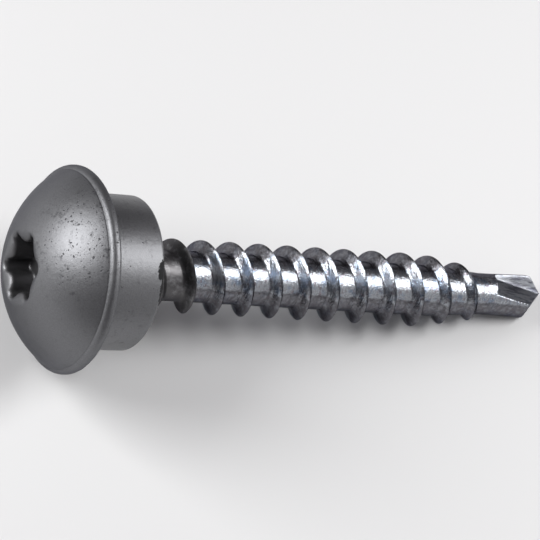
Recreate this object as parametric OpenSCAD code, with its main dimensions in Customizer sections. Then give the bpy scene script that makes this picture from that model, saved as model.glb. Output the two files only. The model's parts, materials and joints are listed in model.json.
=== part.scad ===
// Self-drilling roofing screw with a flanged dome head and a sealing washer.
// The screw is drawn upright on its own axis: z = 0 is the bearing face under
// the flange, +z runs to the drill point.  It is then laid down as it comes to
// rest on a table, flute down: on its flange rim and the crest of its thread,
// with a corner of the flute's mouth close above the table.

/* [Head] */
// Diameter of the flange
flange_d = 13.6; // [12:0.1:17]
// Thickness of the flange at its rim
flange_h = 0.8; // [0.6:0.05:1.4]
// Rounding of the rim's outer edge; the edge under the flange is sharp
rim_round = 0.25; // [0.1:0.05:0.5]
// Width of the flat brim between the rim's rounding and the dome's foot
brim_w = 0.06; // [0.05:0.01:0.6]
// Height of the dome above the flange
dome_h = 3.45; // [2.4:0.05:4.2]

/* [Drive recess] */
// Across the tips of the six lobes
lobe_d = 4.5; // [3.9:0.05:5]
// Across the hollows between the lobes
hollow_d = 3.25; // [3:0.05:3.5]
// Radius of a lobe's tip
lobe_r = 0.4; // [0.3:0.05:0.5]
// Depth of the recess below the crown of the dome
recess_depth = 2.3; // [1.6:0.1:2.8]

/* [Sealing washer] */
// Outside diameter of the washer
washer_d = 10.1; // [8:0.1:11.5]
// Thickness of the washer
washer_t = 4.05; // [2:0.05:5]
// Rounding of the washer's outer edges
washer_edge_r = 0.2; // [0.1:0.05:0.5]
// Radial clearance of the washer's bore on the neck
washer_fit = 0.02; // [0.01:0.01:0.08]
// Radial room between the thread and the bell mouth of the washer's bore
mouth_room = 0.15; // [0.1:0.05:0.4]

/* [Shank] */
// Length from the bearing face to the tip
shank_l = 35.35; // [28:0.05:60]
// Diameter of the plain neck that carries the washer
neck_d = 3.56; // [3.5:0.02:4]
// Length of plain neck that shows beyond the washer
neck_run = 0.3; // [0.2:0.1:2]

/* [Thread] */
// Outside diameter of the thread
thread_d = 4.8; // [4.2:0.1:5.5]
// Diameter of the core
core_d = 3.34; // [3:0.02:3.46]
// Distance from one crest to the next
pitch = 2.164; // [1.6:0.004:2.6]
// Width of the rounded crest
crest_w = 0.2; // [0.1:0.02:0.4]
// Distance along the axis that each flank covers
flank_run = 0.32; // [0.2:0.02:0.5]
// Plain core between the neck and the foot of the first thread
lead_gap = 0.13; // [0.05:0.01:3]
// Length over which the thread rises to its full height
run_in = 1.8; // [0.5:0.1:4]
// Angle about the axis at which the thread starts
thread_angle = -116; // [-180:1:180]
// Length of the narrowing end of the core
core_taper = 3.75; // [1:0.25:6]
// Length of the narrowing end of the crest
crest_taper = 4.5; // [1:0.25:7]
// Diameter of the crest where the thread ends
crest_end_d = 3.38; // [3.1:0.02:4]
// Length over which the last of the ridge falls away
run_out = 0.45; // [0.2:0.05:1.5]

/* [Drill point] */
// Diameter of the drill at its tip
point_d = 2.92; // [2.8:0.02:3.3]
// Diameter of the waist where the drill begins
waist_d = 2.76; // [2.5:0.02:2.8]
// Length from the waist to the tip
point_l = 4; // [3:0.1:7]
// Plain waist between the foot of the last thread and the drill
waist_run = 0.33; // [0.1:0.01:2]
// Angle between the two ground faces of the point
point_angle = 90; // [80:1:120]
// Turn of the chisel edge, where these faces meet, from the cutting walls' normal
chisel_angle = -43; // [-60:1:-20]
// Length of plain drill above the flutes
flute_gap = 0.3; // [0.25:0.05:1]
// Thickness of the web between the two flutes
web_t = 0.6; // [0.3:0.05:1]
// Depth of the flute's bed at its upper end, measured from the side of the drill
bed_drop = 0.25; // [0.1:0.05:0.5]
// Lean of the flutes to the axis
flute_lean = 13.5; // [5:0.5:22]
// Slope of the flute's back wall to its cutting wall
back_slope = 45; // [30:1:60]

/* [Hidden] */

// Smoothness of round surfaces
$fn = 96;
// Overlap where two solids of the screw are joined
joint_lap = 0.15;
// How far the end of the core lies below the side of the waist
waist_sink = 0.015;
// How far a cut runs past the surface that it opens
cut_past = 1;
// Steps along one turn of the thread
turn_steps = 40;
// Steps in the rounding of an edge
round_steps = 6;
// Share of the thread's height at the shoulders of its crest
shoulder_share = 0.9;
// An angle about the axis that lies inside the mouth of the first flute
mouth_angle = -30;
// How far round from it the corner of the mouth is looked for
mouth_search = 75;
// Steps in finding the corner and the angle at which it touches the table
search_steps = 24;
// Turn from there to the angle at which the screw's weight lies lowest
rest_turn = 1.75;
// Turn of the flange's seam, which brings the middle of a chord of its rim under the resting screw
rim_seam = 2.43;

// Dome
crown_z = -flange_h - dome_h;
foot_r = flange_d / 2 - rim_round - brim_w;
dome_r = (foot_r * foot_r + dome_h * dome_h) / (2 * dome_h);
dome_z = crown_z + dome_r;

// Recess: each hollow is an arc that meets the lobes on both sides smoothly
lobe_c = lobe_d / 2 - lobe_r;
hollow_r = (lobe_c * lobe_c + hollow_d * hollow_d / 4 - lobe_r * lobe_r - lobe_c * hollow_d * cos(30))
    / (2 * lobe_r + 2 * lobe_c * cos(30) - hollow_d);
hollow_c = hollow_d / 2 + hollow_r;
// Half of the angle that a lobe's arc covers about its own centre
lobe_sweep = atan2(hollow_c * sin(30), hollow_c * cos(30) - lobe_c);
// Half of the angle that a hollow's arc covers about its own centre
hollow_sweep = lobe_sweep - 30;

// Washer
bore_r = neck_d / 2 + washer_fit;
mouth_r = thread_d / 2 + mouth_room;

// Half of the width of a thread at its foot
root_half = crest_w / 2 + flank_run;

// Stations along the axis
neck_end = washer_t + neck_run;
thread_start = neck_end + lead_gap + root_half;
waist_z = shank_l - point_l;
thread_end = waist_z - waist_run - root_half;
flute_z = waist_z + flute_gap;

// Thread
profile = [
    [-root_half, 0],
    [-crest_w / 2, shoulder_share],
    [-crest_w / 4, 1],
    [crest_w / 4, 1],
    [crest_w / 2, shoulder_share],
    [root_half, 0]
];
across = len(profile);
steps = round((thread_end - thread_start) / pitch * turn_steps);

// Growth of the drill's radius along its length
flare = (point_d - waist_d) / 2 / point_l;
// Upper end of the first flute's bed
bed_start = [web_t / 2, bed_drop - waist_d / 2, flute_z];
// Angle of the mouth's corner, where the cutting wall meets the drill's side and the ground face
corner_angle = mouth_edge(mouth_angle, mouth_angle - mouth_search);
corner = lip_point(corner_angle);

// Rest: the rim and the crest of the thread touch the table, and the corner is just clear of it
down = corner_touch(mouth_angle, corner_angle) + rest_turn;
tilt = crest_tilt(down);
// The second flute is the one that lies down
roll = -180 - down;
rest_h = flange_d / 2 * cos(tilt);
// Middle of the laid screw, from the crown of its dome to its tip
middle_x = (dome_z * cos(tilt) - dome_r + shank_l * cos(tilt)) / 2;

// Share of a rise that is done at v, eased at both ends
function ease(v) = let (w = min(1, max(0, v))) w * w * (3 - 2 * w);
// Value between a and b at share v, held at the ends
function between(a, b, v) = a + (b - a) * min(1, max(0, v));
// Points of an arc about c, from angle a to angle b, without as many of them as skip says at each end
function arc(c, r, a, b, skip = 0) = [
    for (i = [skip : round_steps - skip])
        let (w = a + (b - a) * i / round_steps)
        c + r * [cos(w), sin(w)]
];

// Point at angle w where the drill's side meets a ground face
function lip_point(w) =
    let (
        slope = abs(sin(w - chisel_angle)) / tan(point_angle / 2),
        r = point_d / 2 / (1 + flare * slope)
    )
    [r * cos(w), r * sin(w), shank_l - r * slope];
// How far a point lies behind one of the first flute's walls; below 0 it is in the flute
function behind_walls(p) =
    let (q = p - bed_start)
    max(-q[0], q[1] * cos(flute_lean) - q[2] * sin(flute_lean) - q[0] * tan(back_slope));
// Angle of the mouth's corner, between an angle in the flute and one outside it
function mouth_edge(inside, outside, n = search_steps) =
    let (middle = (inside + outside) / 2)
    n == 0 ? middle
    : behind_walls(lip_point(middle)) < 0 ? mouth_edge(middle, outside, n - 1)
    : mouth_edge(inside, middle, n - 1);
// Tilt at which the rim and the mouth's corner touch the table with angle w pointing down
function corner_tilt(w) =
    atan2(flange_d / 2 - corner[0] * cos(w) - corner[1] * sin(w), corner[2]);
// Tilt at which the rim and the crest of the other side's thread touch the table
function crest_tilt(w) =
    min([
        for (k = [0 : ceil((thread_end - thread_start) / pitch)])
            let (z = thread_start + pitch * (k + ((w + 180 - thread_angle) % 360) / 360))
            if (z < thread_end) atan2(flange_d / 2 - core_at(z) - ridge_at(z), z)
    ]);
// Angle that points down where crest and corner touch, between one with the corner clear and one with the crest
function corner_touch(clear, lying, n = search_steps) =
    let (middle = (clear + lying) / 2)
    n == 0 ? middle
    : corner_tilt(middle) > crest_tilt(middle) ? corner_touch(middle, lying, n - 1)
    : corner_touch(clear, middle, n - 1);

// Radius of the core at height z
function core_at(z) =
    between(core_d / 2, waist_d / 2 - waist_sink, (z - thread_end + core_taper) / core_taper);
// Radius of the crest at height z
function crest_at(z) =
    between(thread_d / 2, crest_end_d / 2, (z - thread_end + crest_taper) / crest_taper);
// Height of the ridge above the core where its middle is at height z
function ridge_at(z) =
    (crest_at(z) - core_at(z)) * ease((z - thread_start) / run_in) * ease((thread_end - z) / run_out);

// A point on the side of the screw at step t, height z and radius r
function side_point(t, z, r) =
    let (w = thread_angle + 360 * t / turn_steps)
    [r * cos(w), r * sin(w), z];
// Number of the point at step t and profile place p
function at(t, p) = t * across + p;

// Two triangles of the side between steps t and t + 1, with the lower and upper pair of points
function pair(low, low_next, high, high_next) = [[low, high, high_next], [low, high_next, low_next]];
// Triangles from one point to each stretch of a chain
function fan(tip, chain) = [for (i = [0 : len(chain) - 2]) [tip, chain[i + 1], chain[i]]];

// Core and ridge as one closed surface: the profile runs up the helix, and its
// upper edge meets the lower edge of the turn above.  A flat ring closes each end.
module threaded_length() {
    bottom_z = neck_end - joint_lap;
    top_z = waist_z + joint_lap;
    first_ring = at(steps, across - 1) + 1;
    last_ring = first_ring + turn_steps;
    last_turn = steps - turn_steps;
    helix = [
        for (t = [0 : steps], p = [0 : across - 1])
            let (z = thread_start + pitch * t / turn_steps, s = profile[p])
            side_point(t, z + s[0], core_at(z + s[0]) + ridge_at(z) * s[1])
    ];
    low_ring = [for (t = [0 : turn_steps - 1]) side_point(t, bottom_z, core_at(bottom_z))];
    high_ring = [for (t = [0 : turn_steps - 1]) side_point(last_turn + t, top_z, core_at(top_z))];
    ridge_faces = [
        for (t = [0 : steps - 1], p = [0 : across - 2])
            each pair(at(t, p), at(t + 1, p), at(t, p + 1), at(t + 1, p + 1))
    ];
    root_faces = [
        for (t = [0 : last_turn - 1])
            each pair(at(t, across - 1), at(t + 1, across - 1), at(t + turn_steps, 0), at(t + turn_steps + 1, 0))
    ];
    low_faces = [
        for (t = [0 : turn_steps - 2])
            each pair(first_ring + t, first_ring + t + 1, at(t, 0), at(t + 1, 0))
    ];
    low_seam = fan(at(turn_steps - 1, 0), [
        first_ring + turn_steps - 1,
        first_ring,
        for (p = [0 : across - 1]) at(0, p),
        at(turn_steps, 0)
    ]);
    high_faces = [
        for (t = [1 : turn_steps - 1])
            each pair(at(last_turn + t, across - 1), at(last_turn + t + 1, across - 1),
                last_ring + t, last_ring + (t + 1) % turn_steps)
    ];
    high_seam = fan(at(last_turn + 1, across - 1), [
        last_ring + 1,
        last_ring,
        for (p = [across - 1 : -1 : 0]) at(steps, p),
        at(last_turn, across - 1)
    ]);
    low_cap = [[for (t = [0 : turn_steps - 1]) first_ring + t]];
    high_cap = [[for (t = [turn_steps - 1 : -1 : 0]) last_ring + t]];
    polyhedron(
        points = concat(helix, low_ring, high_ring),
        faces = concat(ridge_faces, root_faces, low_faces, low_seam, high_faces, high_seam, low_cap, high_cap)
    );
}

// Flange with the outer edge of its rim rounded
module flange() {
    rim_c = flange_d / 2 - rim_round;
    rotate(rim_seam)
        rotate_extrude()
            polygon(concat(
                [[0, 0], [flange_d / 2, 0]],
                arc([rim_c, rim_round - flange_h], rim_round, 0, -90),
                [[0, -flange_h]]
            ));
}

// Dome: a cap of a sphere, sunk into the flange
module dome() {
    sunk_z = joint_lap - flange_h;
    intersection() {
        translate([0, 0, dome_z]) sphere(dome_r);
        translate([0, 0, crown_z - cut_past]) cylinder(r = flange_d / 2, h = sunk_z - crown_z + cut_past);
    }
}

// Six-lobe recess for the driver bit
module recess() {
    outline = [
        for (k = [0 : 5])
            each concat(
                arc(lobe_c * [cos(60 * k), sin(60 * k)], lobe_r, 60 * k - lobe_sweep, 60 * k + lobe_sweep),
                arc(hollow_c * [cos(60 * k + 30), sin(60 * k + 30)], hollow_r,
                    60 * k + 210 + hollow_sweep, 60 * k + 210 - hollow_sweep, skip = 1)
            )
    ];
    translate([0, 0, crown_z - cut_past])
        linear_extrude(recess_depth + cut_past)
            polygon(outline);
}

// One flute: a flat cutting wall and a sloped back wall that meet in a leaning bed
module flute() {
    far = 2 * point_d;
    translate(bed_start)
        rotate([-flute_lean, 0, 0])
            linear_extrude(2 * point_l)
                polygon([
                    [0, 0],
                    [0, -far],
                    [far, -far],
                    [far, far * tan(back_slope)]
                ]);
}

// What is ground off to leave one face of the point
module ground_off() {
    far = 2 * point_d;
    rotate([0, 0, chisel_angle])
        translate([0, 0, shank_l])
            rotate([point_angle / 2 - 90, 0, 0])
                translate([-far, -far, 0])
                    cube([2 * far, 2 * far, far]);
}

// Drill: a slightly flared body with two flutes, ground to a chisel edge
module drill_point() {
    body_l = point_l + cut_past;
    difference() {
        translate([0, 0, waist_z])
            cylinder(r1 = waist_d / 2, r2 = waist_d / 2 + flare * body_l, h = body_l);
        for (turn = [0, 180])
            rotate([0, 0, turn]) {
                flute();
                ground_off();
            }
    }
}

// Lays a piece down from its upright place to its rest on the table
module laid() {
    translate([-middle_x, 0, rest_h])
        rotate([0, 90 + tilt, 0])
            rotate([0, 0, roll])
                children();
}

// Screw: one forged and rolled piece, from the dome to the drill point
module screw() {
    color("lightslategray")
        laid() {
            difference() {
                union() {
                    flange();
                    dome();
                }
                recess();
            }
            translate([0, 0, -flange_h / 2])
                cylinder(d = neck_d, h = flange_h / 2 + neck_end);
            threaded_length();
            drill_point();
        }
}

// Sealing washer: a rubber ring on the neck, with a bell mouth for the thread
module sealing_washer() {
    outer_c = washer_d / 2 - washer_edge_r;
    color("dimgray")
        laid()
            rotate_extrude()
                polygon(concat(
                    [[bore_r, 0]],
                    arc([outer_c, washer_edge_r], washer_edge_r, -90, 0),
                    arc([outer_c, washer_t - washer_edge_r], washer_edge_r, 0, 90),
                    [
                        [mouth_r, washer_t],
                        [bore_r, washer_t - (mouth_r - bore_r)]
                    ]
                ));
}

screw();
sealing_washer();
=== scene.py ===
# %% [markdown]
# # A roofing screw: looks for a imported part
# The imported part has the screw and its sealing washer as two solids, lying on a table. This lesson gives
# both of them the surface that a close look shows: rounded thread crests, a ground drill point, a sprayed
# grey head and washer, and bright zinc on the rest. The frame is loaded first and is never moved.

# %% Load the frame
import json
import math

import bmesh
import bpy
import numpy as np
from mathutils import Matrix, Vector


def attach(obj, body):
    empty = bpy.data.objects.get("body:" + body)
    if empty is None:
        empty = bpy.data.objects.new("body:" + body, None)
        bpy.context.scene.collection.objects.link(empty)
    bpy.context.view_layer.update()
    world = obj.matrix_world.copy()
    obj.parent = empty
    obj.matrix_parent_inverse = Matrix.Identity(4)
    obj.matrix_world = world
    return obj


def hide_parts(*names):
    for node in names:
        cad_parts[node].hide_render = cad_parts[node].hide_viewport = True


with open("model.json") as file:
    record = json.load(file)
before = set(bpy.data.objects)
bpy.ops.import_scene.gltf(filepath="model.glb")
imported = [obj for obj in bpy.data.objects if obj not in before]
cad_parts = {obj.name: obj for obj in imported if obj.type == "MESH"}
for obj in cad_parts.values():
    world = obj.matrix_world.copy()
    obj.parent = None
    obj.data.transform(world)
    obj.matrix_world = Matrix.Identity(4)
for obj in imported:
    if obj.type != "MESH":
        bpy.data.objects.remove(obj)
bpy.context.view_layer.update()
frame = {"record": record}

# %% [markdown]
# ## The screw's own axes
# A turned part is easiest to describe round its own axis, with a distance `u` from the bearing face under
# the flange, an angle round the axis and a radius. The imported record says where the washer's sealing face
# is and which way it looks, so the axis comes from there and not from a copied number. Lengths of the
# screw are written in millimetres, as on a drawing, and become metres only when a point is placed.

# %% Axes of the laid screw
MM = 0.001
washer_t = 4.05
roll = math.radians(-149.504)

sealing_face = {m["name"]: m for m in frame["record"]["mounts"]}["sealing_face"]
along = np.array(sealing_face["axis"])
seat = np.array(sealing_face["pos_m"]) - washer_t * MM * along
across = np.array((0.0, 1.0, 0.0))
below = np.cross(across, along)
side_x = math.cos(roll) * below + math.sin(roll) * across
side_y = math.cos(roll) * across - math.sin(roll) * below


def place(angle, radius, u):
    """Point at an angle and radius round the axis and u along it: seat + u along + the turned radius."""
    angle, radius, u = np.broadcast_arrays(angle, radius, u)
    x, y = radius * np.cos(angle), radius * np.sin(angle)
    return seat + MM * (u[..., None] * along + x[..., None] * side_x + y[..., None] * side_y)


def own_place(points):
    """The way back: x, y and u in millimetres from points in the frame, by projection on the three axes."""
    return (points - seat) @ np.stack([side_x, side_y, along], axis=1) / MM


print("bearing face at", seat.round(5), "axis", along.round(4))

# %% [markdown]
# ## From grids to one welded mesh
# Every stretch of the screw is a grid: rows along the surface and columns round the axis. All stretches
# use the same columns, so where one ends and the next begins their points coincide, and merging doubles
# welds them into one closed skin. A row that shrinks to a point becomes a pole in the same way.

# %% Grid helpers
COLUMNS = 180
WELD = 2e-4 * MM
chisel_angle = math.radians(-43)
turn = chisel_angle + 2 * math.pi * np.arange(COLUMNS) / COLUMNS


def ease(v):
    """Share of a rise that is done at v, flat at both ends: 3 v squared less 2 v cubed."""
    v = np.clip(v, 0, 1)
    return v * v * (3 - 2 * v)


def between(a, b, v):
    """Value from a to b at share v, held at both ends."""
    return a + (b - a) * np.clip(v, 0, 1)


def soft_min(a, b, width):
    """The lesser of a and b, with the corner between them rounded over width."""
    reach = np.maximum(width - np.abs(a - b), 0)
    return np.minimum(a, b) - reach * reach / (4 * width)


def soft_max(a, b, width):
    """The greater of a and b, with the corner between them rounded over width."""
    return -soft_min(-a, -b, width)


def ring_grid(radius, u, angle=turn):
    """Points and quads of a grid whose columns close into a ring; faces look away from the metal."""
    points = place(angle, radius, u)
    number = np.arange(points.shape[0] * points.shape[1]).reshape(points.shape[:2])
    beside = np.roll(number, -1, axis=1)
    quads = np.stack([number[:-1], beside[:-1], beside[1:], number[1:]], axis=-1)
    return points.reshape(-1, 3), quads.reshape(-1, 4)


def weld(name, stretches, crease=40):
    """One mesh from several grids: points joined, doubles merged, shaded smooth but for sharp edges."""
    starts = np.cumsum([0] + [len(points) for points, _ in stretches])
    points = np.concatenate([points for points, _ in stretches])
    quads = np.concatenate([quads + start for (_, quads), start in zip(stretches, starts)])
    mesh = bpy.data.meshes.new(name)
    mesh.from_pydata(points, [], quads)
    work = bmesh.new()
    work.from_mesh(mesh)
    bmesh.ops.remove_doubles(work, verts=work.verts, dist=WELD)
    open_edges = sum(not edge.is_manifold for edge in work.edges)
    work.to_mesh(mesh)
    work.free()
    mesh.shade_smooth()
    mesh.set_sharp_from_angle(angle=math.radians(crease))
    obj = bpy.data.objects.new(name, mesh)
    bpy.context.scene.collection.objects.link(obj)
    mesh.calc_loop_triangles()
    triangles = len(mesh.loop_triangles)
    print(name, len(mesh.vertices), "points", triangles, "triangles", open_edges, "open edges")
    return obj


def local_points(obj):
    """The piece's points in the screw's own x, y and u, in millimetres."""
    flat = np.empty(len(obj.data.vertices) * 3)
    obj.data.vertices.foreach_get("co", flat)
    return own_place(flat.reshape(-1, 3))


def give(obj, name, values):
    """Stores a number or a vector for each point, for the finishes to read."""
    kind, field = ("FLOAT_VECTOR", "vector") if values.ndim == 2 else ("FLOAT", "value")
    store = obj.data.attributes.new(name, kind, "POINT")
    store.data.foreach_set(field, np.ascontiguousarray(values, dtype=np.float32).ravel())


print(COLUMNS, "columns round the axis")

# %% [markdown]
# ## The head
# The real head is forged in a die: a shallow dome with a six-lobe recess. A lathe profile alone can't make
# the lobes, so each row is a ring whose radius may change with the angle. Rows start in the middle of the
# recess floor, climb its wall, roll over its mouth and run down the dome while the lobed ring relaxes into
# a circle.

# %% Recess and dome
flange_r, flange_h = 6.8, 0.8
rim_round, brim_w = 0.25, 0.06
dome_h, valley_r = 3.45, 6.44
lobe_across, hollow_across, lobe_r = 4.5, 3.25, 0.4
recess_depth = 2.3
floor_round, mouth_round, mouth_spread, mouth_drop = 0.2, 0.28, 0.85, 0.4
ROUND_ROWS, FLOOR_ROWS, WALL_ROWS, DOME_ROWS = 7, 6, 12, 34

crown_u = -flange_h - dome_h
foot_r = flange_r - rim_round - brim_w
dome_r = (foot_r**2 + dome_h**2) / (2 * dome_h)
dome_u = crown_u + dome_r
lobe_c = lobe_across / 2 - lobe_r
hollow_half = hollow_across / 2
sixth = math.pi / 6
hollow_r = (lobe_c**2 + hollow_half**2 - lobe_r**2 - 2 * lobe_c * hollow_half * math.cos(sixth)) / (
    2 * (lobe_r + lobe_c * math.cos(sixth) - hollow_half))
hollow_c = hollow_half + hollow_r


def recess_radius(angle):
    """Radius of the lobed outline: the ray's far crossing of a lobe's circle, or near one of a hollow's."""
    from_lobe = np.abs((angle + sixth) % (2 * sixth) - sixth)
    from_hollow = sixth - from_lobe
    sweep = math.atan2(hollow_c * math.sin(sixth), hollow_c * math.cos(sixth) - lobe_c)
    meet = math.atan2(lobe_r * math.sin(sweep), lobe_c + lobe_r * math.cos(sweep))
    lobe_gap = np.maximum(lobe_r**2 - (lobe_c * np.sin(from_lobe)) ** 2, 0)
    hollow_gap = np.maximum(hollow_r**2 - (hollow_c * np.sin(from_hollow)) ** 2, 0)
    lobe = lobe_c * np.cos(from_lobe) + np.sqrt(lobe_gap)
    hollow = hollow_c * np.cos(from_hollow) - np.sqrt(hollow_gap)
    return np.where(from_lobe < meet, lobe, hollow)


def mouth_radius(angle):
    """Radius where the mouth's rounding meets the dome: the outline, widened most at its hollows."""
    wall = recess_radius(angle)
    return wall + mouth_round + mouth_spread * (lobe_across / 2 - wall)


def dome_at(radius):
    """Place along the axis of the dome at a radius: its centre less the side of a right triangle."""
    return dome_u - np.sqrt(dome_r**2 - radius**2)


def recess_and_dome():
    """Rows of radius and u from the recess floor to the dome's foot; the share s runs over each stretch."""
    wall = recess_radius(turn)
    floor_u = crown_u + recess_depth
    mouth = mouth_radius(turn)
    bend = np.linspace(0, math.pi / 2, ROUND_ROWS)[:, None]
    s_floor = np.linspace(0, 1, FLOOR_ROWS)[:-1, None]
    s_wall = np.linspace(0, 1, WALL_ROWS)[1:-1, None]
    s_dome = np.linspace(0, 1, DOME_ROWS)[1:, None]
    wall_low = floor_u - floor_round
    wall_high = dome_at(mouth) + mouth_drop
    fall = mouth + (valley_r - mouth) * s_dome
    radius = [
        (wall - floor_round) * s_floor,
        wall - floor_round + floor_round * np.sin(bend),
        wall + 0 * s_wall,
        mouth - (mouth - wall) * np.cos(bend),
        fall,
    ]
    u = [
        floor_u + 0 * wall * s_floor,
        wall_low + floor_round * np.cos(bend) + 0 * wall,
        wall_low + (wall_high - wall_low) * s_wall,
        dome_at(mouth) + mouth_drop * (1 - np.sin(bend)),
        dome_at(fall),
    ]
    return np.concatenate(radius), np.concatenate(u)


head_radius, head_u = recess_and_dome()
print("recess and dome:", len(head_u), "rows, dome radius", round(dome_r, 3))

# %% [markdown]
# ## Rim, underside and neck
# The dome's foot ends in a sharp valley beside the fat rolled rim, and that valley is what separates dome
# and flange to the eye. The rest is plain turning, so one list of profile points is enough: the valley as
# a cubic curve, the rim as two arcs with a straight side, then the underside and the neck.

# %% Rim, neck and the whole head
bead_r, bead_start, under_round = 0.45, math.radians(18), 0.28
valley_pull, bead_pull = 0.03, 0.02
neck_r, neck_end, neck_step = 1.78, 4.35, 0.1
core_r = 1.67
VALLEY_ROWS, BEAD_ROWS, UNDER_ARC_ROWS = 13, 14, 9
SIDE_ROWS, UNDER_ROWS, NECK_ROWS = 4, 8, 10


def rim_and_neck():
    """Rows from the dome's foot to the core: cubic valley, rolled rim of two arcs, underside and neck."""
    bead = np.array((flange_r - bead_r, bead_r - flange_h))
    start = np.array((valley_r, dome_at(valley_r)))
    fall = np.array((dome_u - start[1], valley_r)) / dome_r
    end = bead + bead_r * np.array((math.sin(bead_start), -math.cos(bead_start)))
    climb = np.array((math.cos(bead_start), math.sin(bead_start)))
    pulls = (start, start + valley_pull * fall, end - bead_pull * climb, end)
    s = np.linspace(0, 1, VALLEY_ROWS)[1:, None]
    valley = sum(c * (1 - s) ** (3 - k) * s**k * p for k, (c, p) in enumerate(zip((1, 3, 3, 1), pulls)))
    bend = np.linspace(bead_start, math.pi / 2, BEAD_ROWS)[1:]
    upper = bead + bead_r * np.stack([np.sin(bend), -np.cos(bend)], axis=1)
    bend = np.linspace(0, math.pi / 2, UNDER_ARC_ROWS)[1:]
    under_centre = (flange_r - under_round, -under_round)
    lower = under_centre + under_round * np.stack([np.cos(bend), np.sin(bend)], axis=1)
    rim_side = np.linspace(upper[-1], (flange_r, -under_round), SIDE_ROWS)[1:]
    under = np.linspace(lower[-1], (neck_r, 0.0), UNDER_ROWS)[1:]
    neck = np.linspace((neck_r, 0.0), (neck_r, neck_end), NECK_ROWS)[1:]
    step = np.array([(core_r, neck_end + neck_step)])
    return np.concatenate([valley, upper, rim_side, lower, under, neck, step])


lathe = rim_and_neck()
head = ring_grid(
    np.concatenate([head_radius, np.repeat(lathe[:, :1], COLUMNS, axis=1)]),
    np.concatenate([head_u, np.repeat(lathe[:, 1:], COLUMNS, axis=1)]),
)
print("head rows:", len(head[0]) // COLUMNS)

# %% [markdown]
# ## The thread
# A rolled thread is one profile carried up a helix, and each turn's upper edge is the next turn's lower
# edge. Stacking separate rings would lose the slope, so the grid itself winds: a row is the profile over
# one whole pitch, and the columns follow the turning angle. The grid starts a turn too early and ends a
# turn too late, and is pressed flat on the end rings, where the merge closes it.

# %% Winding thread
thread_r, pitch = 2.4, 2.164
crest_half, flank_run = 0.1, 0.32
lead_gap, run_in, run_out = 0.13, 1.8, 0.45
thread_angle = math.radians(-116)
core_taper, crest_taper, crest_end_r = 3.75, 4.5, 1.69
shank_l, point_l, waist_r, waist_run = 35.35, 4.0, 1.38, 0.33
crest_soft, root_soft, root_reach, crest_narrow = 0.16, 0.32, 0.13, 0.6
RIDGE_ROWS, ROOT_ROWS, ridge_crowd = 17, 7, 0.35

root_half = crest_half + flank_run
thread_start = neck_end + lead_gap + root_half
waist_u = shank_l - point_l
thread_end = waist_u - waist_run - root_half
low_u, high_u = neck_end + neck_step, waist_u - waist_run


def core_at(u):
    """Radius of the core, which narrows evenly over its last stretch to the waist."""
    return between(core_r, waist_r, (u - thread_end + core_taper) / core_taper)


def crest_at(u):
    """Radius of the crest, which narrows evenly over its last stretch."""
    return between(thread_r, crest_end_r, (u - thread_end + crest_taper) / crest_taper)


def ridge_at(u):
    """Height of the ridge: crest less core, eased in where the thread starts and out where it ends."""
    rise = ease((u - thread_start) / run_in) * ease((thread_end - u) / run_out)
    return (crest_at(u) - core_at(u)) * rise


def ridge_share(v):
    """Share of the ridge's height at v from its middle: a straight flank with a rounded crest and root."""
    flank = (root_half - np.abs(v)) / (root_half - crest_narrow * crest_half)
    return soft_max(soft_min(flank, 1 + crest_soft / 4, crest_soft), 0, root_soft)


def thread_grid():
    """The profile over one pitch, carried up the helix: u = the ridge's middle + v, kept between rings."""
    reach = root_half + root_reach
    even = np.linspace(-1, 1, RIDGE_ROWS)
    ridge_v = reach * (ridge_crowd * np.sin(even * math.pi / 2) + (1 - ridge_crowd) * even)
    root_v = np.linspace(reach, pitch - reach, ROOT_ROWS)[1:]
    v = np.concatenate([ridge_v, root_v])
    share = np.where(v > reach - 1e-9, 0, ridge_share(v))
    share[0] = 0
    first = math.floor((low_u + reach - pitch - thread_start) / pitch * COLUMNS) - COLUMNS // 2
    last = math.ceil((high_u + reach - thread_start) / pitch * COLUMNS) + COLUMNS // 2
    angle = turn[0] + 2 * math.pi * np.arange(first, last + 1)[:, None] / COLUMNS
    middle = thread_start + pitch * (angle - thread_angle) / (2 * math.pi)
    u = np.clip(middle + v, low_u, high_u)
    radius = core_at(u) + ridge_at(middle) * share
    points = place(angle, radius, u)
    number = np.arange(radius.size).reshape(radius.shape)
    quads = np.stack([number[:-1, :-1], number[1:, :-1], number[1:, 1:], number[:-1, 1:]], axis=-1)
    return points.reshape(-1, 3), quads.reshape(-1, 4)


thread = thread_grid()
print("thread from", round(thread_start, 2), "to", round(thread_end, 2), "mm,", len(thread[1]), "quads")

# %% [markdown]
# ## The drill point
# The tip is a small drill: two leaning flutes, each with a flat cutting wall and a sloped back wall, and
# two ground faces that meet in a chisel edge. Boolean cuts would tear the columns apart. Seen from the
# axis every ray leaves the metal once, so the side is still a radius for each angle and each u, the least
# of the round body and the flutes. Rows run from the waist to the lip, and a cap of rows closes the tip.

# %% Fluted point
point_r, flute_gap = 1.46, 0.3
half_point = math.radians(45)
web_half, bed_drop = 0.3, 0.25
flute_lean, back_slope = math.radians(13.5), math.radians(45)
bed_round, land_round, flute_end = 0.16, 0.05, 0.1
SIDE_STEPS, CAP_STEPS, HALVINGS = 84, 26, 40
LIP_PASSES, LIP_ROWS = 8, 5


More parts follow.
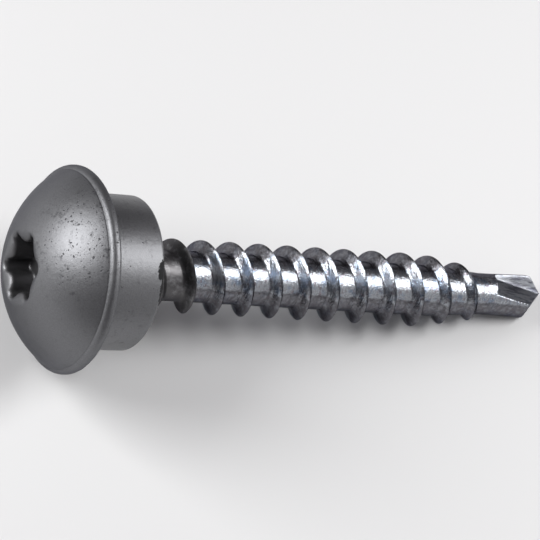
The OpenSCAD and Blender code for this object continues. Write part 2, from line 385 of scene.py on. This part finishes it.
def flute_radius(angle, u):
    """Where a ray enters the flute: the farther of its crossings with the cutting wall and the back wall."""
    cosine, sine = np.cos(angle), np.sin(angle)
    slope = math.tan(back_slope) / math.cos(flute_lean)
    bed_y = bed_drop - waist_r
    since = u - waist_u - flute_gap
    toward_wall = np.maximum(cosine, 1e-3)
    toward_back = np.maximum(slope * cosine - sine, 1e-3)
    to_wall = web_half / toward_wall
    to_back = (slope * web_half - bed_y - since * math.tan(flute_lean)) / toward_back
    entry = soft_max(to_wall, to_back, bed_round)
    past_end = (entry * sine - bed_y) * math.sin(flute_lean) + since * math.cos(flute_lean)
    return entry, ease(past_end / flute_end)


def drill_radius(angle, u):
    """Radius of the drill's side: the flared body, less each flute where the flute has begun."""
    body = between(waist_r, point_r, (u - waist_u) / point_l)
    radius = body + 0 * angle
    for half_turn in (0, math.pi):
        entry, begun = flute_radius(angle + half_turn, u)
        cut = soft_min(radius, entry, land_round)
        radius = radius + (cut - radius) * begun
    return radius


def ground_u(angle, radius):
    """Height of the two ground faces: they fall from the tip with the distance from the chisel edge."""
    return shank_l - radius * np.abs(np.sin(angle - chisel_angle)) / math.tan(half_point)


def lip_u(angle):
    """Where the side meets a ground face, found for all columns at once by halving the stretch."""
    low, high = np.full_like(angle, waist_u), np.full_like(angle, shank_l)
    for _ in range(HALVINGS):
        middle = (low + high) / 2
        inside = middle < ground_u(angle, drill_radius(angle, middle))
        low, high = np.where(inside, middle, low), np.where(inside, high, middle)
    return low


def round_edge(rows, edge):
    """Rounds the edge at one row: the rows near it become 1/4, 1/2, 1/4 means of their neighbours."""
    for _ in range(LIP_PASSES):
        mean = (rows[:-2] + 2 * rows[1:-1] + rows[2:]) / 4
        rows[edge - LIP_ROWS:edge + LIP_ROWS] = mean[edge - LIP_ROWS - 1:edge + LIP_ROWS - 1]
    return rows


def drill_grid():
    """Rows of the side from the waist ring to the lip, then of the cap to the tip, with a rounded lip."""
    lip = lip_u(turn)
    s_side = np.linspace(0, 1, SIDE_STEPS)[:, None]
    side_u = high_u + (lip - high_u) * s_side
    side_r = drill_radius(turn, side_u)
    s_cap = np.linspace(1, 0, CAP_STEPS)[1:, None]
    cap_r = side_r[-1] * s_cap
    cap_u = ground_u(turn, cap_r)
    radius = round_edge(np.concatenate([side_r, cap_r]), SIDE_STEPS - 1)
    u = round_edge(np.concatenate([side_u, cap_u]), SIDE_STEPS - 1)
    return ring_grid(radius, u)


drill = drill_grid()
screw = weld("screw_body", [head, thread, drill])

# %% [markdown]
# ## The sealing washer
# The washer is a thick rubber ring that was sprayed together with the head. Pressed rubber is never quite
# true: its side bulges a little and its far face leans. It is a closed loop of profile points carried
# round the axis, with the far end's lean and the bulge added as functions of the angle.

# %% Washer
washer_r, washer_edge, bore_r, mouth_r = 5.05, 0.24, 1.80, 2.55
bulge, far_lean = 0.03, 0.09
WASHER_COLUMNS = 240
EDGE_ROWS, WALL_STEPS, FACE_ROWS, BELL_ROWS, BORE_ROWS = 7, 22, 10, 5, 8


def washer_profile():
    """Loop of radius and u: up the outer side with two rounded edges, over the far face, down the bore."""
    bend = np.linspace(0, math.pi / 2, EDGE_ROWS)
    edge_r = washer_r - washer_edge + washer_edge * np.sin(bend)
    near = np.stack([edge_r, washer_edge * (1 - np.cos(bend))], axis=1)
    far = near[::-1] * (1, -1) + (0, washer_t)
    side = np.linspace(near[-1], far[0], WALL_STEPS)[1:-1]
    face = np.linspace(far[-1], (mouth_r, washer_t), FACE_ROWS)[1:]
    bell = np.linspace((mouth_r, washer_t), (bore_r, washer_t - mouth_r + bore_r), BELL_ROWS)[1:]
    bore = np.linspace(bell[-1], (bore_r, 0.0), BORE_ROWS)[1:]
    seat_face = np.linspace((bore_r, 0.0), near[0], FACE_ROWS)[1:]
    return np.concatenate([near, side, far, face, bell, bore, seat_face])


profile = washer_profile()
washer_turn = 2 * math.pi * np.arange(WASHER_COLUMNS) / WASHER_COLUMNS
rise = profile[:, 1:] / washer_t
outer = ease((profile[:, :1] - bore_r) / (washer_r - bore_r))
washer_radius = profile[:, :1] + bulge * outer * np.sin(math.pi * rise) + 0 * washer_turn
washer_u = profile[:, 1:] - far_lean * rise**2 * outer * np.sin(washer_turn)
washer = weld("sealing_washer_body", [ring_grid(washer_radius, washer_u, washer_turn)])

# %% [markdown]
# ## Marks for the finishes
# Finishes need to know where they are. Each point keeps its own place on the screw, and some masks. They
# say how far it is inside the sprayed coat and the recess, and how near to the worn spot on the dome. They
# say how far round it is from the two sides that face the lamps, for the painted shade on the zinc, and
# whether it lies in a ground flute. On the washer one mask says how near the chip is.

# %% Masks of the screw
spray_u, spray_sway = 8.2, 0.54
worn_spot, worn_reach = np.array((4.7, -2.6, -2.0)), 5.0
# The two sides listed here face the lamps; round from them the zinc gets painted shade.
lit_sides = ((math.radians(-14), math.radians(24)), (math.radians(166), math.radians(56)))
shade_fade = math.radians(24)
ground_from, ground_fade = 0.03, 0.06

screw_place = local_points(screw)
screw_u = screw_place[:, 2]
screw_angle = np.arctan2(screw_place[:, 1], screw_place[:, 0])
screw_r = np.hypot(screw_place[:, 0], screw_place[:, 1])
past_lit = [
    np.abs((screw_angle - middle + math.pi) % (2 * math.pi) - math.pi) - half
    for middle, half in lit_sides
]
land_r = between(waist_r, point_r, (screw_u - waist_u) / point_l)
below_land = np.where(screw_u > waist_u, land_r - screw_r, 0)
mouth_edge, wall_edge = mouth_radius(screw_angle), recess_radius(screw_angle)
in_recess = np.clip((mouth_edge - screw_r) / (mouth_edge - wall_edge), -1, 1)
give(screw, "place", screw_place)
give(screw, "coat", spray_u + spray_sway * np.sin(screw_angle) - screw_u)
give(screw, "worn", 1 - np.linalg.norm(screw_place - worn_spot, axis=1) / worn_reach)
# Mask of painted shade on the zinc: 0 on the sides that face the lamps, rising to 1 round from them.
give(screw, "side_shade", ease(np.min(past_lit, axis=0) / shade_fade))
give(screw, "ground", ease((below_land - ground_from) / ground_fade))
give(screw, "recess", np.where(screw_u < 0, in_recess, -1))
print("screw from", screw_u.min().round(2), "to", screw_u.max().round(2), "mm along its axis")

# %% Masks of the washer
chip_angle, chip_long, chip_deep = math.radians(-5), 0.8, 0.56
crack_angle, crack_long, crack_deep = math.radians(9), 1.5, 0.25
edge_inset = 0.02

washer_place = local_points(washer)
washer_angle = np.arctan2(washer_place[:, 1], washer_place[:, 0])
below_far = np.maximum(washer_t - washer_place[:, 2], 0)
in_from_edge = np.maximum(washer_r - edge_inset - np.hypot(washer_place[:, 0], washer_place[:, 1]), 0)
edge_gap = below_far + in_from_edge


def torn_gap(angle, long, deep):
    """Distance from a spot on the far edge, in shares of its half length and its depth, as in an ellipse."""
    return np.hypot((washer_angle - angle) * washer_r / long, edge_gap / deep)


chip = torn_gap(chip_angle, chip_long, chip_deep)
crack = torn_gap(crack_angle, crack_long, crack_deep)
chip_gap = np.minimum(chip, crack)
give(washer, "place", washer_place)
give(washer, "chip", 1 - chip_gap)
print("washer points in the chip or the crack:", int((chip_gap < 1).sum()))

# %% [markdown]
# ## Node helpers
# A material is a graph. Building it by hand takes three lines a node, so one helper adds a node with its
# settings and connects what goes into it.

# %% Adding nodes
def add(tree, kind, settings=None, **inputs):
    """Adds a node; inputs are named with _ for spaces and take a value or another node's output socket."""
    made = tree.nodes.new(kind)
    for name, value in (settings or {}).items():
        setattr(made, name, value)
    for name, value in inputs.items():
        key = int(name[1:]) if name[0] == "i" and name[1:].isdigit() else name.replace("_", " ")
        if isinstance(value, bpy.types.NodeSocket):
            tree.links.new(value, made.inputs[key])
        else:
            made.inputs[key].default_value = value
    return made


def calc(tree, operation, a, b=0.0, c=0.0):
    """One Math node and its result."""
    return add(tree, "ShaderNodeMath", {"operation": operation}, i0=a, i1=b, i2=c).outputs[0]


def step_up(tree, value, low, high):
    """A soft step: 0 at low and beyond it, 1 at high and beyond it, whichever of the two is greater."""
    made = add(tree, "ShaderNodeMapRange", {"interpolation_type": "SMOOTHSTEP"}, Value=value,
               From_Min=low, From_Max=high)
    return made.outputs["Result"]


def blend(tree, share, a, b):
    """Colour from a to b by share."""
    return add(tree, "ShaderNodeMix", {"data_type": "RGBA"}, i0=share, i6=a, i7=b).outputs[2]


def blend_value(tree, share, a, b):
    """Number from a to b by share."""
    return add(tree, "ShaderNodeMix", i0=share, i2=a, i3=b).outputs[0]


def noise(tree, where, scale, detail=2.0, rough=0.5, stretch=None):
    """Noise on the piece's own place, in features per millimetre, stretched by a Mapping node if asked."""
    if stretch:
        where = add(tree, "ShaderNodeMapping", Vector=where, Scale=stretch).outputs[0]
    made = add(tree, "ShaderNodeTexNoise", Vector=where, Scale=scale, Detail=detail, Roughness=rough)
    return made.outputs["Fac"]


def attribute(tree, name):
    """The node that reads one of the piece's own masks."""
    return add(tree, "ShaderNodeAttribute", {"attribute_name": name})


def new_material(name):
    """A new material, its node tree and its Principled shader."""
    made = bpy.data.materials.new(name)
    made.use_nodes = True
    return made, made.node_tree, made.node_tree.nodes["Principled BSDF"]


def connect(tree, shader, colour, gloss, metal, height):
    """Puts a finish on its shader; the height, in millimetres, goes through a Bump node."""
    bump = add(tree, "ShaderNodeBump", Strength=1.0, Distance=MM, Height=height)
    tree.links.new(colour, shader.inputs["Base Color"])
    tree.links.new(gloss, shader.inputs["Roughness"])
    tree.links.new(metal, shader.inputs["Metallic"])
    tree.links.new(bump.outputs[0], shader.inputs["Normal"])


print("node helpers for Blender", bpy.app.version_string)

# %% [markdown]
# ## Sprayed grey coat
# Head, washer and neck got the same satin spray: mid grey with fine metal flake, a slight orange peel, and
# small dark pits that crowd together round the worn spot. Two pieces wear it, so it is one node group. It
# gives out what changes over the surface, and the shader stays in each material.

# %% Spray group
GREY = (0.185, 0.187, 0.195, 1)
PIT = (0.06, 0.06, 0.064, 1)
FLAKE_DARK, FLAKE_LIGHT = 0.7, 1.3
PIT_CELLS = ((4.3, 0.55), (8.5, 0.6))
PIT_SWAY, PIT_SPARSE, PIT_COVER = 0.16, 0.3, 0.7
SMEAR_CROWDED, SMEAR_PLAIN = 0.6, 0.15
SPRAY_ROUGH, FLAKE_ROUGH, PIT_ROUGH = 0.34, 0.2, 0.2
FLAKE_HIGH, PEEL_HIGH, PIT_HIGH = 0.008, 0.01, -0.012
SPRAY_SOCKETS = (
    ("Place", "INPUT", "NodeSocketVector"),
    ("Pits", "INPUT", "NodeSocketFloat"),
    ("Worn", "INPUT", "NodeSocketFloat"),
    ("Color", "OUTPUT", "NodeSocketColor"),
    ("Roughness", "OUTPUT", "NodeSocketFloat"),
    ("Height", "OUTPUT", "NodeSocketFloat"),
)


def toned(colour, share):
    """The colour times a share, and still opaque."""
    return tuple(share * part for part in colour[:3]) + (1,)


def pits(group, where, size, crowd):
    """Mask of pits: in cells of two sizes, those with a high random number hold a pit, wider in a crowd."""
    sway = add(group, "ShaderNodeTexNoise", Vector=where, Scale=6.0, Detail=2.0).outputs["Color"]
    bent = add(group, "ShaderNodeVectorMath", {"operation": "MULTIPLY_ADD"},
               i0=sway, i1=(PIT_SWAY,) * 3, i2=where)
    pit = 0.0
    for scale, rare in PIT_CELLS:
        cells = add(group, "ShaderNodeTexVoronoi", Vector=bent.outputs[0], Scale=scale, Randomness=1.0)
        luck = add(group, "ShaderNodeSeparateColor", Color=cells.outputs["Color"]).outputs[0]
        reach = calc(group, "MULTIPLY", calc(group, "SUBTRACT", luck, rare), size)
        reach = calc(group, "MULTIPLY", reach, calc(group, "ADD", crowd, PIT_SPARSE))
        depth = calc(group, "SUBTRACT", reach, cells.outputs["Distance"])
        pit = calc(group, "MAXIMUM", pit, step_up(group, depth, low=-0.04, high=0.1))
    return pit


def spray_group():
    """Colour, roughness and height of the coat: flake noise, orange peel, smears and clustered pits."""
    group = bpy.data.node_groups.new("sprayed coat", "ShaderNodeTree")
    for name, way, kind in SPRAY_SOCKETS:
        group.interface.new_socket(name, in_out=way, socket_type=kind)
    start = group.nodes.new("NodeGroupInput")
    finish = group.nodes.new("NodeGroupOutput")
    where = start.outputs["Place"]
    flake = noise(group, where, scale=10, detail=3, rough=0.65)
    peel = noise(group, where, scale=2.2)
    patches = calc(group, "ADD", start.outputs["Worn"], noise(group, where, scale=0.6))
    crowd = step_up(group, patches, low=0.5, high=1.0)
    pit = pits(group, where, start.outputs["Pits"], crowd)
    smear = step_up(group, noise(group, where, scale=1.5, detail=4, rough=0.7), low=0.54, high=0.72)
    smear = calc(group, "MULTIPLY", smear, calc(group, "MULTIPLY_ADD", crowd, SMEAR_CROWDED, SMEAR_PLAIN))
    dark = calc(group, "MAXIMUM", calc(group, "MULTIPLY", pit, PIT_COVER), smear)
    shade = blend(group, flake, toned(GREY, FLAKE_DARK), toned(GREY, FLAKE_LIGHT))
    gloss = calc(group, "MULTIPLY_ADD", flake, FLAKE_ROUGH, SPRAY_ROUGH)
    height = calc(group, "MULTIPLY_ADD", flake, FLAKE_HIGH, calc(group, "MULTIPLY", peel, PEEL_HIGH))
    group.links.new(blend(group, dark, shade, PIT), finish.inputs["Color"])
    group.links.new(calc(group, "MULTIPLY_ADD", pit, PIT_ROUGH, gloss), finish.inputs["Roughness"])
    group.links.new(calc(group, "MULTIPLY_ADD", pit, PIT_HIGH, height), finish.inputs["Height"])
    return group


spray = spray_group()
print("group", spray.name, "with", len(spray.nodes), "nodes")


def spray_layer(tree, where, pit_size, worn):
    """The coat's group placed in a material; worn is a number or a mask."""
    return add(tree, "ShaderNodeGroup", {"node_tree": spray}, Place=where, Pits=pit_size, Worn=worn)


# %% [markdown]
# ## Zinc and coat on the screw
# Bright zinc is a metal with a cool, mottled tint. Round from the two sides that face the lamps, its colour
# is darkened with patchy painted shade. Thread rolling leaves fine rings and wrinkles, so its bump is noise
# squeezed along the axis. The flutes were ground, so they are rougher. The spray reaches over the neck to
# the first thread, where it lies thin and darker, partly thin spray and partly painted shade. The recess is
# darkened with painted shade. The masks mix the finishes in one shader.

# %% Screw finish
EDGE_TINT = (0.35, 0.35, 0.38, 1)
ZINC = (0.39, 0.41, 0.44, 1)
ZINC_BLUE = (0.24, 0.29, 0.37, 1)
ZINC_DULL = (0.27, 0.245, 0.27, 1)
# The next two colours are painted shade, dark and lighter mottle, for the zinc away from the lamps.
ZINC_SHADE = (0.1, 0.092, 0.1, 1)
ZINC_SHADE_LIGHT = (0.2, 0.203, 0.22, 1)
GROUND = (0.27, 0.28, 0.3, 1)
GROUND_DARK = (0.1, 0.1, 0.12, 1)
# Thin coat colour, darkened as painted shade on the neck between washer and thread, and in the recess.
THIN_COAT_SHADED = (0.12, 0.117, 0.12, 1)
THIN_WORN = (0.23, 0.228, 0.235, 1)
SCREW_PITS = 0.66
# Patchiness and shift of the painted shade on the zinc away from the lamps.
SHADE_PATCHY, SHADE_SHIFT = 1.2, -0.85
# Of the covers on the next line, the first is painted shade on the zinc and the last painted shade in the
# recess.
SHADE_COVER, GROUND_COVER, RECESS_SHADE_COVER = 0.85, 0.9, 0.6
COAT_EDGE, COAT_RAGGED, COAT_METAL = 0.06, 0.5, -0.1
THIN_STARTS, THIN_ENDS = 5.2, 3.2
RING_HIGH, WRINKLE_HIGH = 0.028, 0.024
ZINC_ROUGH, WRINKLE_ROUGH, GROUND_ROUGH, THIN_ROUGH = 0.14, 0.18, 0.14, -0.06


def zinc_colour(tree, where, ground):
    """Zinc with bluish and brownish patches, patchy painted shade away from the lit sides, streaks in the
    flutes.
    """
    patch = noise(tree, where, scale=1.3, detail=4, rough=0.6)
    bloom = noise(tree, where, scale=2.9, detail=3, rough=0.55, stretch=(1.0, 1.0, 1.6))
    cloudy = noise(tree, where, scale=4.2, detail=4, rough=0.6)
    streaky = noise(tree, where, scale=1.6, detail=3, rough=0.6, stretch=(3.0, 3.0, 0.5))
    metal = blend(tree, step_up(tree, patch, low=0.46, high=0.66), ZINC, ZINC_BLUE)
    metal = blend(tree, step_up(tree, bloom, low=0.52, high=0.7), metal, ZINC_DULL)
    # Painted shade: the zinc darkens in patches round from the sides that face the lamps.
    side_shade = calc(tree, "ADD", attribute(tree, "side_shade").outputs["Fac"], SHADE_SHIFT)
    side_shade = calc(tree, "MULTIPLY_ADD", patch, SHADE_PATCHY, side_shade)
    side_shade = step_up(tree, calc(tree, "SUBTRACT", side_shade, ground), low=0.1, high=0.5)
    shade_mottle = blend(tree, step_up(tree, cloudy, low=0.42, high=0.66), ZINC_SHADE, ZINC_SHADE_LIGHT)
    metal = blend(tree, calc(tree, "MULTIPLY", side_shade, SHADE_COVER), metal, shade_mottle)
    cut = blend(tree, step_up(tree, streaky, low=0.44, high=0.64), GROUND, GROUND_DARK)
    return blend(tree, calc(tree, "MULTIPLY", ground, GROUND_COVER), metal, cut)


def coat_colour(tree, where, layer, thin_and_shaded):
    """Spray colour: thin, rubbed and partly painted shade on the neck; painted shade in the recess."""
    rubbed = step_up(tree, noise(tree, where, scale=1.8, detail=4, rough=0.65), low=0.48, high=0.68)
    colour = blend(tree, thin_and_shaded, layer.outputs["Color"], blend(tree, rubbed, THIN_COAT_SHADED, THIN_WORN))
    # Painted shade: the recess is darkened towards the thin coat's colour.
    hollow = step_up(tree, attribute(tree, "recess").outputs["Fac"], low=0.3, high=1.0)
    return blend(tree, calc(tree, "MULTIPLY", hollow, RECESS_SHADE_COVER), colour, THIN_COAT_SHADED)


def screw_finish():
    """Zinc below the spray's edge and coat above it, with the edge made ragged by noise."""
    made, tree, shader = new_material("zinc and grey coat")
    shader.inputs["Specular Tint"].default_value = EDGE_TINT
    where = attribute(tree, "place").outputs["Vector"]
    ground = attribute(tree, "ground").outputs["Fac"]
    ragged = noise(tree, where, scale=3.5, detail=3)
    ragged = calc(tree, "MULTIPLY_ADD", ragged, COAT_RAGGED, -COAT_RAGGED / 2)
    coat_depth = calc(tree, "ADD", attribute(tree, "coat").outputs["Fac"], ragged)
    coat = step_up(tree, coat_depth, low=-COAT_EDGE, high=COAT_EDGE)
    # Thin, darker coat on the neck and first thread: partly thin spray, partly painted shade.
    thin_and_shaded = step_up(tree, coat_depth, low=THIN_STARTS, high=THIN_ENDS)
    layer = spray_layer(tree, where, SCREW_PITS, attribute(tree, "worn").outputs["Fac"])
    rings = noise(tree, where, scale=1.0, detail=3, rough=0.55, stretch=(0.9, 0.9, 11.0))
    wrinkle = noise(tree, where, scale=6.5, detail=3, rough=0.6)
    zinc_height = calc(tree, "MULTIPLY", wrinkle, WRINKLE_HIGH)
    zinc_height = calc(tree, "MULTIPLY_ADD", rings, RING_HIGH, zinc_height)
    zinc_gloss = calc(tree, "MULTIPLY_ADD", ground, GROUND_ROUGH, ZINC_ROUGH)
    zinc_gloss = calc(tree, "MULTIPLY_ADD", wrinkle, WRINKLE_ROUGH, zinc_gloss)
    coat_gloss = calc(tree, "MULTIPLY_ADD", thin_and_shaded, THIN_ROUGH, layer.outputs["Roughness"])
    connect(
        tree,
        shader,
        colour=blend(tree, coat, zinc_colour(tree, where, ground), coat_colour(tree, where, layer, thin_and_shaded)),
        gloss=blend_value(tree, coat, zinc_gloss, coat_gloss),
        metal=calc(tree, "MULTIPLY_ADD", coat, COAT_METAL, 1.0),
        height=blend_value(tree, coat, zinc_height, layer.outputs["Height"]),
    )
    return made


screw.data.materials.append(screw_finish())
print("screw finish:", len(screw.data.materials[0].node_tree.nodes), "nodes")

# %% [markdown]
# ## Coat and rubber on the washer
# The washer wears the same coat. At its far edge a flake has come off and shows black rubber, and a thin
# crack runs on from it. The chip mask falls off evenly, and noise tears its edge.

# %% Washer finish
RUBBER = (0.012, 0.012, 0.013, 1)
WASHER_PITS, WASHER_WORN, TORN_SHIFT = 0.5, 0.25, -0.52
BARE_ROUGH, BARE_HIGH, COATED_METAL = 0.4, -0.05, 0.9


def washer_finish():
    """Coat with a torn chip of bare rubber where the chip mask is high."""
    made, tree, shader = new_material("grey coat on rubber")
    where = attribute(tree, "place").outputs["Vector"]
    layer = spray_layer(tree, where, WASHER_PITS, WASHER_WORN)
    torn = calc(tree, "ADD", noise(tree, where, scale=4.5, detail=4, rough=0.65), TORN_SHIFT)
    torn = calc(tree, "ADD", attribute(tree, "chip").outputs["Fac"], torn)
    bare = step_up(tree, torn, low=0.02, high=0.1)
    connect(
        tree,
        shader,
        colour=blend(tree, bare, layer.outputs["Color"], RUBBER),
        gloss=calc(tree, "MULTIPLY_ADD", bare, BARE_ROUGH, layer.outputs["Roughness"]),
        metal=calc(tree, "MULTIPLY_ADD", bare, -COATED_METAL, COATED_METAL),
        height=calc(tree, "MULTIPLY_ADD", bare, BARE_HIGH, layer.outputs["Height"]),
    )
    return made


washer.data.materials.append(washer_finish())
print("materials:", sorted(m.name for m in bpy.data.materials if m.users))

# %% [markdown]
# ## Tying the skins to the part
# The skins could float beside the imported solids, but then nothing would know what they are. Each one is
# hung on the body that carries it, the solid it stands for is hidden, and both names and the record's finish
# are printed. The screw has no joints, so its one body is `root`.

# %% Tie the pieces to the frame
for piece, node_name, slot_name in (
    (screw, "screw", "zinc_steel"),
    (washer, "sealing_washer", "washer_rubber"),
):
    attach(piece, "root")
    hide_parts(node_name)
    print(piece.name, "stands for", node_name, "with the finish", slot_name)

# %% [markdown]
# ## Camera
# The camera looks down on the screw through a long lens, over its head and its upper flute, and is turned
# until the shank lies level in the picture. A level camera would show the shank aslant. The direction, the
# distance and the lens are named values, and the aim is a point near the axis, so it follows the frame.

# %% Camera
view_azimuth, view_elevation, view_roll = math.radians(-41.59), math.radians(56.969), math.radians(35.292)
view_distance, lens = 0.45715, 464.08
aim_along, aim_above = 14.709, 0.751

back = Vector((
    math.sin(view_azimuth) * math.cos(view_elevation),
    -math.cos(view_azimuth) * math.cos(view_elevation),
    math.sin(view_elevation),
))
camera_turn = (-back).to_track_quat("-Z", "Y").to_matrix() @ Matrix.Rotation(view_roll, 3, "Z")
aim = Vector(seat + aim_along * MM * along) + camera_turn.col[1] * aim_above * MM
camera_data = bpy.data.cameras.new("camera")
camera_data.sensor_width = 36
camera_data.lens = lens
camera_data.clip_start, camera_data.clip_end = 0.01, 10
camera = bpy.data.objects.new("camera", camera_data)
camera.matrix_world = Matrix.LocRotScale(aim + back * view_distance, camera_turn, None)
bpy.context.scene.collection.objects.link(camera)
bpy.context.scene.camera = camera
print("camera at", tuple(round(c, 4) for c in camera.matrix_world.translation))

# %% [markdown]
# ## Floor and light
# The screw lies on a pale table under two softboxes that hang close to it. One makes the glow on the dome,
# the other the bright band along the thread, and a dim card fills the near side. Close lamps light the
# table round the screw and leave the far floor dim, so the thread tops reflect a dark room. The floor
# rises into a low rim far away, so that a level view also ends on a pale wall.

# %% Floor
FLOOR = (0.78, 0.78, 0.78, 1)
floor_r, floor_rim = 1.1, 0.3
FLOOR_COLUMNS, FLAT_ROWS, BEND_ROWS = 96, 12, 10
floor_rough, floor_shine = 0.9, 0.1


def floor_points():
    """A dish: flat to floor_r, then a quarter circle of radius floor_rim up to its edge."""
    bend = np.linspace(0, math.pi / 2, BEND_ROWS)[1:]
    flat_r = np.linspace(0, floor_r, FLAT_ROWS)
    radius = np.concatenate([flat_r, floor_r + floor_rim * np.sin(bend)])[:, None]
    height = np.concatenate([0 * flat_r, floor_rim * (1 - np.cos(bend))])[:, None]
    angle = 2 * math.pi * np.arange(FLOOR_COLUMNS) / FLOOR_COLUMNS
    dish = np.stack(np.broadcast_arrays(radius * np.cos(angle), radius * np.sin(angle), height), axis=-1)
    number = np.arange(dish.shape[0] * FLOOR_COLUMNS).reshape(-1, FLOOR_COLUMNS)
    beside = np.roll(number, -1, axis=1)
    quads = np.stack([number[:-1], number[1:], beside[1:], beside[:-1]], axis=-1)
    return dish.reshape(-1, 3), quads.reshape(-1, 4)


floor = weld("floor", [floor_points()])
floor_material, _, floor_shader = new_material("pale table")
floor_shader.inputs["Base Color"].default_value = FLOOR
floor_shader.inputs["Roughness"].default_value = floor_rough
floor_shader.inputs["Specular IOR Level"].default_value = floor_shine
floor.data.materials.append(floor_material)

# %% Light
ROOM = (0.11, 0.103, 0.112, 1)


def soft_lamp(name, u, toward, distance, width, height, radiance):
    """A lamp that faces the axis at u from a direction in the picture; power = pi x radiance x area."""
    data = bpy.data.lights.new(name, "AREA")
    data.shape = "RECTANGLE"
    data.size, data.size_y = width, height
    data.energy = math.pi * radiance * width * height
    lamp = bpy.data.objects.new(name, data)
    away = (camera_turn @ Vector(toward)).normalized()
    level = camera_turn.col[1].cross(away).normalized()
    facing = Matrix((level, away.cross(level), away)).transposed()
    lamp.matrix_world = Matrix.LocRotScale(Vector(seat + u * MM * along) + away * distance, facing, None)
    lamp.visible_camera = False
    bpy.context.scene.collection.objects.link(lamp)
    print(name, "at", tuple(round(c, 3) for c in lamp.matrix_world.translation), round(data.energy, 3), "W")


soft_lamp("dome softbox", u=-2, toward=(-0.635, 0.471, 0.609),
          distance=0.16, width=0.11, height=0.1, radiance=8.5)
soft_lamp("shank softbox", u=16, toward=(0.836, 0.34, 0.43),
          distance=0.16, width=0.12, height=0.086, radiance=6.2)
soft_lamp("low card", u=16, toward=(0.8, -0.4, 0.42),
          distance=0.2, width=0.2, height=0.19, radiance=0.5)
world = bpy.data.worlds.new("room")
world.use_nodes = True
world.node_tree.nodes["Background"].inputs["Color"].default_value = ROOM
bpy.context.scene.world = world
bpy.context.scene.view_settings.view_transform = "Standard"
print("room", ROOM[:3])
